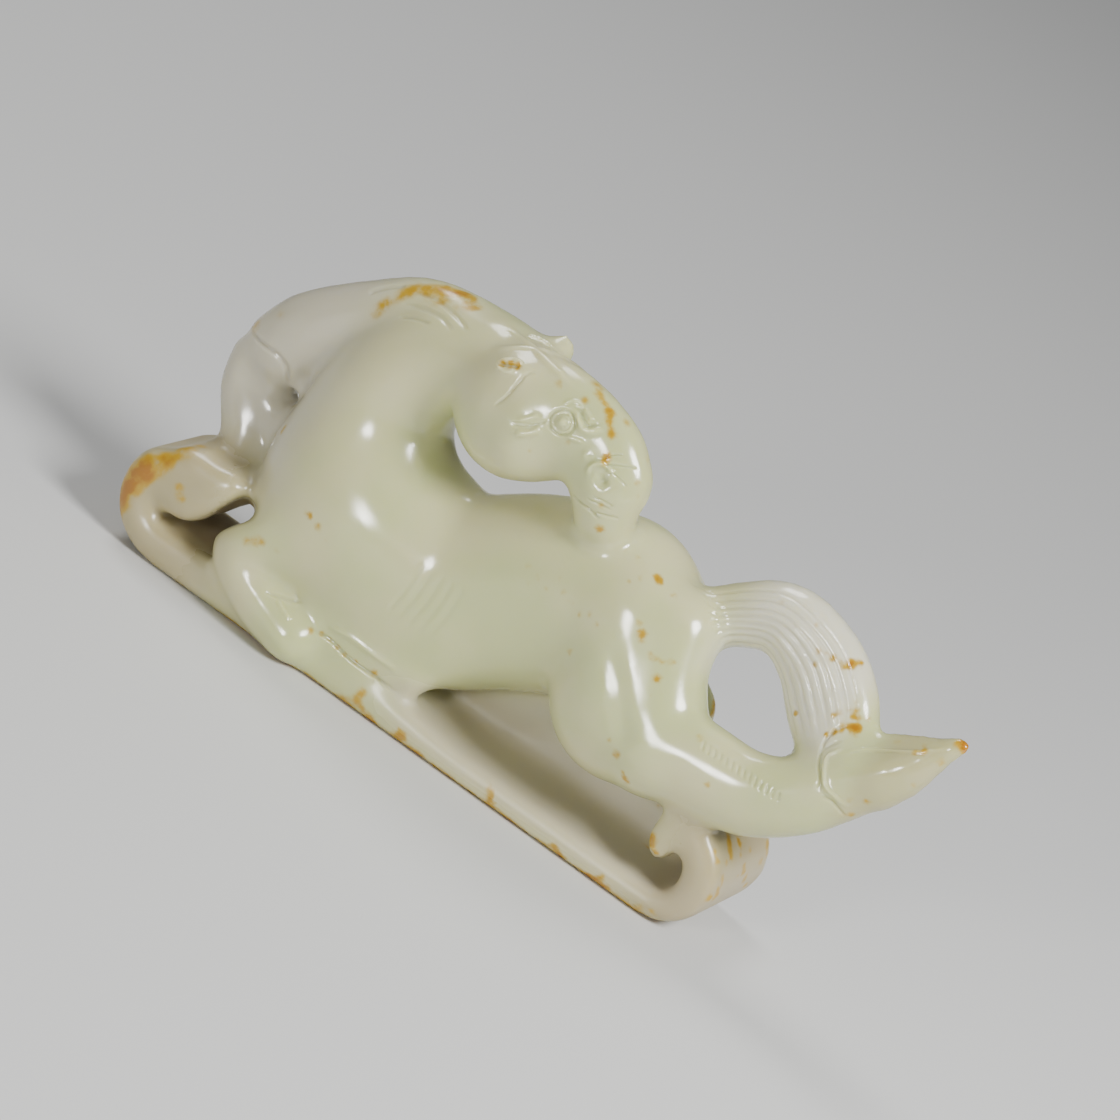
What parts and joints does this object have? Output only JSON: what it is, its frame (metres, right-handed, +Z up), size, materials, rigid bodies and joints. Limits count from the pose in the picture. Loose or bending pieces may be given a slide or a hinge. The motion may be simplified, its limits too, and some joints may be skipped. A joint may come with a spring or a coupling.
{
  "type": "jade horse carving",
  "caption": "Small horse carved in the round from pale jade, lying on a curled scroll, looking back over its rump and kicking one hind hoof up to the arched tail.",
  "frame": {"origin": "middle of the box around the carving, on the flat underside of the scroll", "axes": "+X towards the kicked hind hoof, +Y towards the far side that the head turns away from, +Z up"},
  "size_m": [0.072, 0.0162, 0.0346],
  "materials": {
    "jade": "pale greenish white nephrite, waxy polish, thin russet skin on the edges and curls"
  },
  "bodies": {
    "root": {"horse_carving": "jade"}
  },
  "joints": []
}
